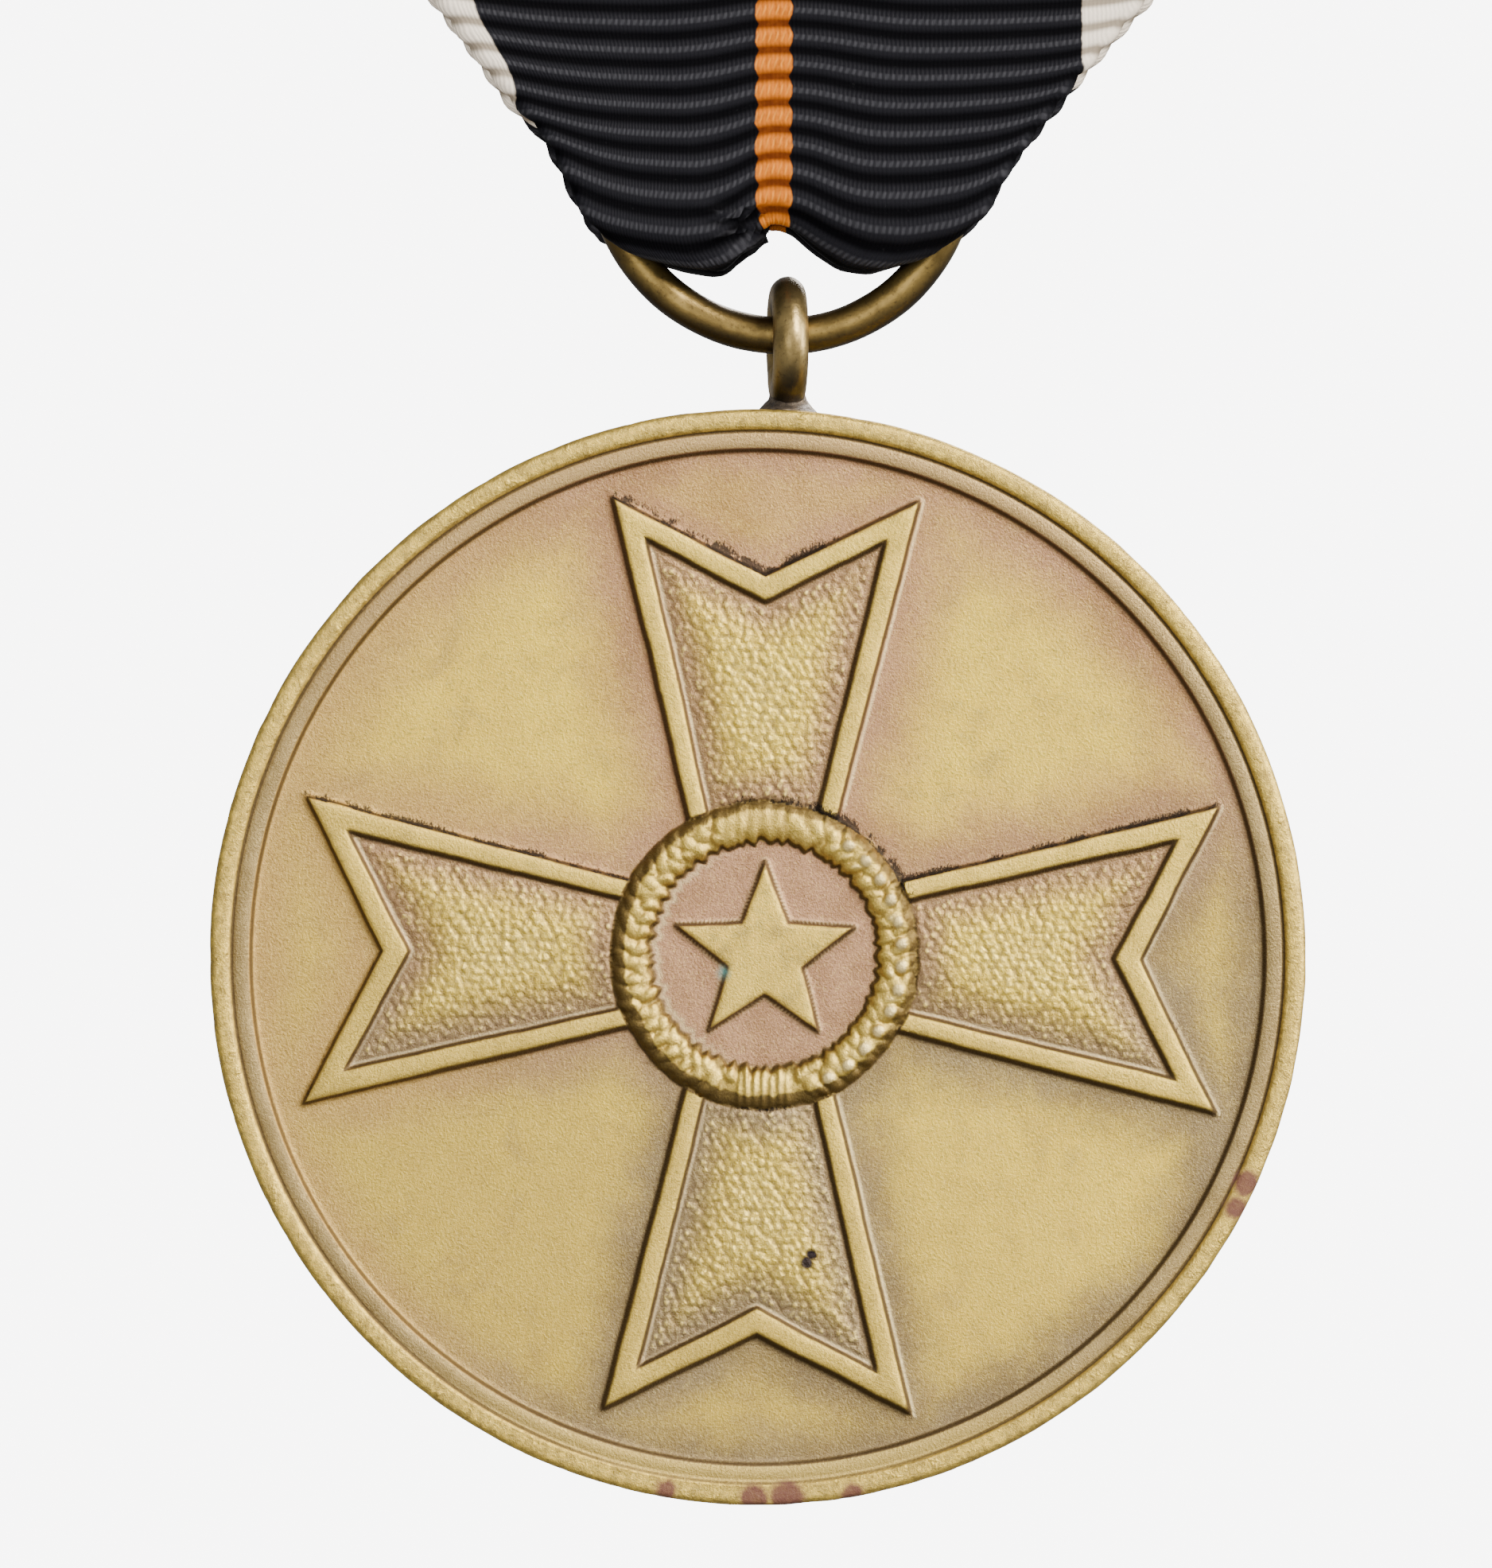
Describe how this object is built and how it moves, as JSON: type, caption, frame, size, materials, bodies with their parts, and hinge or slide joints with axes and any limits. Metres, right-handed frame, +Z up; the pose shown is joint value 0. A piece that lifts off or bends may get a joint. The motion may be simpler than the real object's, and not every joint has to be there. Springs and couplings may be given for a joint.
{
  "type": "service medal",
  "caption": "Round struck bronze medal with a bordered cross, hung by an eyelet and ring from a folded striped ribbon on a pin-backed brooch bar.",
  "frame": {"origin": "middle of the round shaft of the brooch pin, where the garment's cloth sits", "axes": "+Z up the hanging medal, +X to the right as its front is seen along the pin, -Y out of its front"},
  "size_m": [0.034, 0.0079, 0.0791],
  "materials": {
    "brooch_brass": "dull, lightly tarnished brass",
    "rivet_steel": "dull steel",
    "pin_steel": "drawn steel wire",
    "ribbon_weave": "ribbed black weave with an orange centre stripe and white edges",
    "seam_thread": "dark sewing thread",
    "ring_bronze": "dark patinated bronze wire, rubbed bright on the high side",
    "medal_bronze": "satin struck bronze with brown patina in the recesses",
    "eyelet_bronze": "dark patinated bronze wire",
    "solder": "rough, dull grey solder"
  },
  "bodies": {
    "brooch": {"brooch_rod": "brooch_brass", "hinge_bracket": "brooch_brass", "catch_bracket": "brooch_brass", "hinge_rivet": "rivet_steel"},
    "pin": {"brooch_pin": "pin_steel"},
    "ribbon": {"ribbon": "ribbon_weave", "seam_stitches": "seam_thread"},
    "ring": {"suspension_ring": "ring_bronze"},
    "medal": {"medal_disc": "medal_bronze", "eyelet": "eyelet_bronze", "eyelet_solder": "solder"}
  },
  "joints": [
    {"name": "pin_open", "type": "hinge", "parent": "brooch", "child": "pin", "pos_m": [-0.0142, 0, 0], "axis": [0, 0.6157, 0.788], "range_deg": [0, 80]},
    {"name": "ribbon_sway", "type": "hinge", "parent": "brooch", "child": "ribbon", "pos_m": [0, -0.0042, 0], "axis": [1, 0, 0], "range_deg": [-60, 28]},
    {"name": "ring_turn", "type": "hinge", "parent": "ribbon", "child": "ring", "pos_m": [0.00028, -0.0042, -0.038], "axis": [0, 1, 0], "range_deg": [-15, 15]},
    {"name": "medal_swing", "type": "hinge", "parent": "ring", "child": "medal", "pos_m": [0.00028, -0.0042, -0.04317], "axis": [1, 0, 0], "range_deg": [-90, 90]}
  ]
}
